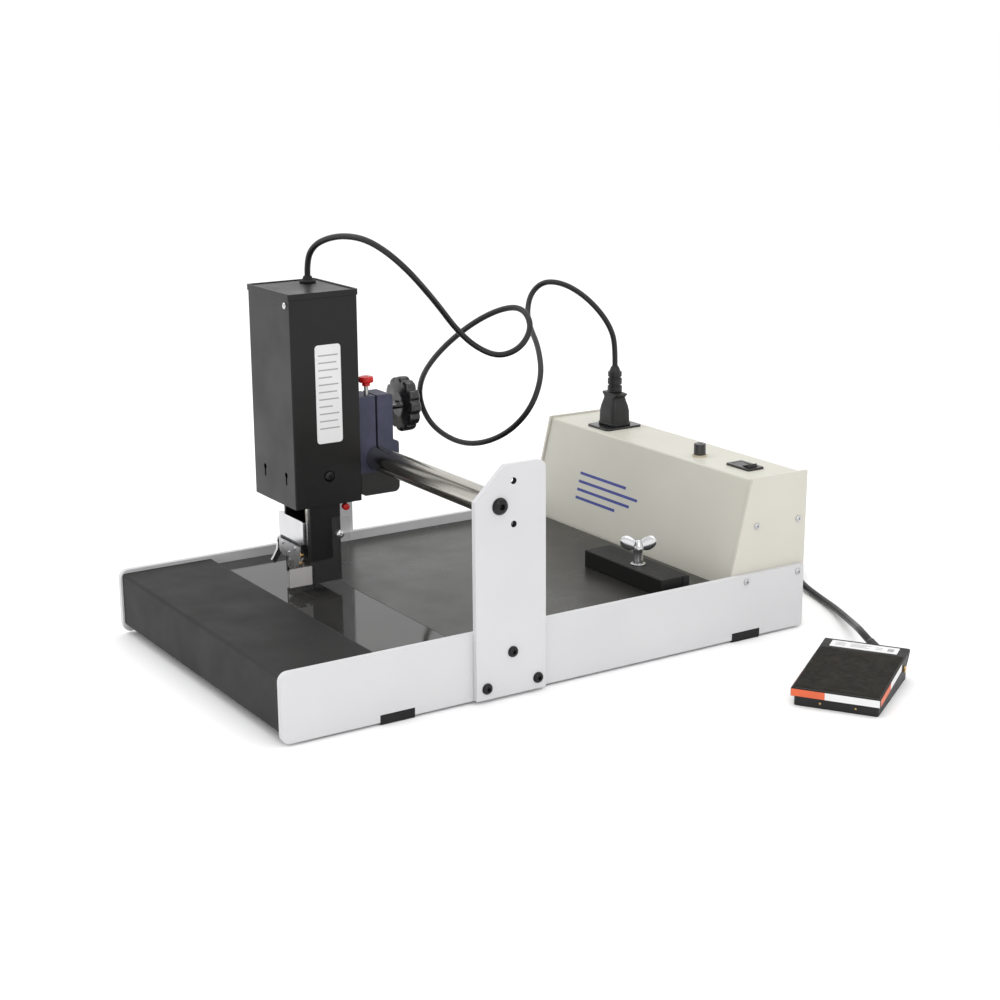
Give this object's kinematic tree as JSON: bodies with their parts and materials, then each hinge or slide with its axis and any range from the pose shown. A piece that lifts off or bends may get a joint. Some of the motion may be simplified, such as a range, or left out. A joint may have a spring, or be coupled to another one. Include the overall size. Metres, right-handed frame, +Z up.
{
  "type": "numbering press",
  "caption": "Table-top electric numbering press: solenoid head clamped on a round cross bar over a paper deck, control box at the back, corded foot switch beside it.",
  "frame": {"origin": "on the bench under the middle of the machine and its foot switch together, cords left out", "axes": "+X to the right along the cross bar, +Y to the back towards the control box, +Z up"},
  "size_m": [0.6358, 0.7462, 0.4235],
  "materials": {
    "rail_paint": "light grey powder coat",
    "deck_paint": "glossy charcoal enamel",
    "cover_paint": "dark grey satin enamel",
    "box_paint": "warm beige enamel",
    "end_paint": "light beige powder coat",
    "housing_paint": "black satin enamel",
    "clamp_paint": "fine textured dark blue paint",
    "black_paint": "black satin paint",
    "pedal_paint": "black textured paint",
    "zinc_steel": "zinc plated",
    "ground_steel": "ground",
    "wheel_steel": "hardened, slightly inked",
    "core_steel": "varnished laminations",
    "spring_steel": "bright wire",
    "black_oxide": "black oxide",
    "chrome_plate": "polished plate",
    "brass_pin": "bright",
    "winding_tape": "wrapped winding",
    "board_green": "solder mask",
    "tan_plastic": "moulded",
    "black_gloss": "moulded gloss",
    "red_plastic": "moulded gloss",
    "black_rubber": "moulded",
    "tread_rubber": "textured tread over steel plate",
    "grey_rubber": "moulded",
    "cord_sheath": "smooth sheath",
    "plug_moulding": "moulded",
    "clear_sheet": "clear acrylic sheet"
  },
  "bodies": {
    "base": {"side_rail_right": "rail_paint", "side_rail_left": "rail_paint", "rubber_feet": "black_rubber", "front_cover": "cover_paint", "mid_deck": "deck_paint", "rear_deck": "deck_paint", "deck_braces": "zinc_steel", "tower_right": "rail_paint", "tower_left": "rail_paint", "cross_bar": "ground_steel", "bar_end_bolts": "black_oxide", "tower_bolts": "black_oxide", "box_end_right": "end_paint", "box_end_left": "end_paint", "box_cover": "box_paint", "box_back_panel": "box_paint", "box_floor": "zinc_steel", "box_screws": "zinc_steel", "transformer": "core_steel", "circuit_board": "board_green", "outlet_socket": "black_gloss", "mains_inlet": "black_gloss", "fuse_holder": "tan_plastic", "switch_bezel": "black_gloss", "pedal_base": "pedal_paint", "pedal_pin": "brass_pin", "pedal_microswitch": "black_gloss", "cord_bushings": "grey_rubber", "head_cord": "cord_sheath", "head_plug": "plug_moulding", "pedal_cord_lead": "cord_sheath", "pedal_cord_coil": "cord_sheath", "pedal_cord": "cord_sheath"},
    "carriage": {"clamp_block": "clamp_paint", "carriage_base": "black_paint", "clamp_stud": "chrome_plate", "head_housing": "housing_paint", "head_cap": "housing_paint", "head_screws": "chrome_plate", "cord_grommet": "black_rubber", "solenoid_frame": "core_steel", "solenoid_coil": "winding_tape", "return_spring": "spring_steel", "guide_leg": "housing_paint", "finger_guard": "clear_sheet"},
    "knob": {"clamp_knob": "black_gloss"},
    "height_screw": {"height_screw": "red_plastic"},
    "ram": {"solenoid_plunger": "ground_steel", "numbering_frame": "chrome_plate"},
    "wheel_1": {"number_wheel_1": "wheel_steel"},
    "wheel_2": {"number_wheel_2": "wheel_steel"},
    "wheel_3": {"number_wheel_3": "wheel_steel"},
    "wheel_4": {"number_wheel_4": "wheel_steel"},
    "lever": {"numbering_lever": "chrome_plate"},
    "fuse_cap": {"fuse_cap": "black_gloss"},
    "rocker": {"switch_rocker": "black_gloss"},
    "stop": {"stop_bar": "black_paint", "stop_clamp_nut": "zinc_steel"},
    "wing_screw": {"stop_wing_screw": "chrome_plate"},
    "treadle": {"pedal_treadle": "tread_rubber"}
  },
  "joints": [
    {"name": "carriage_slide", "type": "slide", "parent": "base", "child": "carriage", "axis": [1, 0, 0], "range_m": [-0.065, 0.205]},
    {"name": "clamp_knob_turn", "type": "hinge", "parent": "carriage", "child": "knob", "pos_m": [-0.16613, -0.05395, 0.2408], "axis": [0, 1, 0], "continuous": true},
    {"name": "height_screw_turn", "type": "hinge", "parent": "carriage", "child": "height_screw", "pos_m": [-0.15863, -0.10095, 0.26], "axis": [0, 0, 1], "continuous": true},
    {"name": "press_stroke", "type": "slide", "parent": "carriage", "child": "ram", "axis": [0, 0, -1], "range_m": [0, 0.008], "stiffness_N_per_m": 800, "springref_m": -0.03, "deforming": ["return_spring"]},
    {"name": "number_wheel_1_turn", "type": "hinge", "parent": "ram", "child": "wheel_1", "pos_m": [-0.18833, -0.16795, 0.0835], "axis": [1, 0, 0], "continuous": true},
    {"name": "number_wheel_2_turn", "type": "hinge", "parent": "ram", "child": "wheel_2", "pos_m": [-0.18173, -0.16795, 0.0835], "axis": [1, 0, 0], "continuous": true},
    {"name": "number_wheel_3_turn", "type": "hinge", "parent": "ram", "child": "wheel_3", "pos_m": [-0.17513, -0.16795, 0.0835], "axis": [1, 0, 0], "continuous": true},
    {"name": "number_wheel_4_turn", "type": "hinge", "parent": "ram", "child": "wheel_4", "pos_m": [-0.16853, -0.16795, 0.0835], "axis": [1, 0, 0], "continuous": true},
    {"name": "numbering_lever_swing", "type": "hinge", "parent": "ram", "child": "lever", "pos_m": [-0.21213, -0.17765, 0.103], "axis": [1, 0, 0], "range_deg": [-12, 20]},
    {"name": "fuse_cap_turn", "type": "hinge", "parent": "base", "child": "fuse_cap", "pos_m": [-0.04713, 0.24605, 0.176], "axis": [0, 0, 1], "range_deg": [0, 90]},
    {"name": "switch_rock", "type": "hinge", "parent": "base", "child": "rocker", "pos_m": [0.01837, 0.25455, 0.167], "axis": [0, 1, 0], "range_deg": [0, 14]},
    {"name": "stop_slide", "type": "slide", "parent": "base", "child": "stop", "axis": [0, 1, 0], "range_m": [0, 0.038]},
    {"name": "wing_screw_turn", "type": "hinge", "parent": "stop", "child": "wing_screw", "pos_m": [0.00287, 0.12705, 0.085], "axis": [0, 0, 1], "continuous": true},
    {"name": "treadle_press", "type": "hinge", "parent": "base", "child": "treadle", "pos_m": [0.2307, 0.22766, 0.0175], "axis": [0.8415, 0.5402, 0], "range_deg": [0, 3], "stiffness_Nm_per_rad": 2, "springref_deg": -6.88}
  ]
}
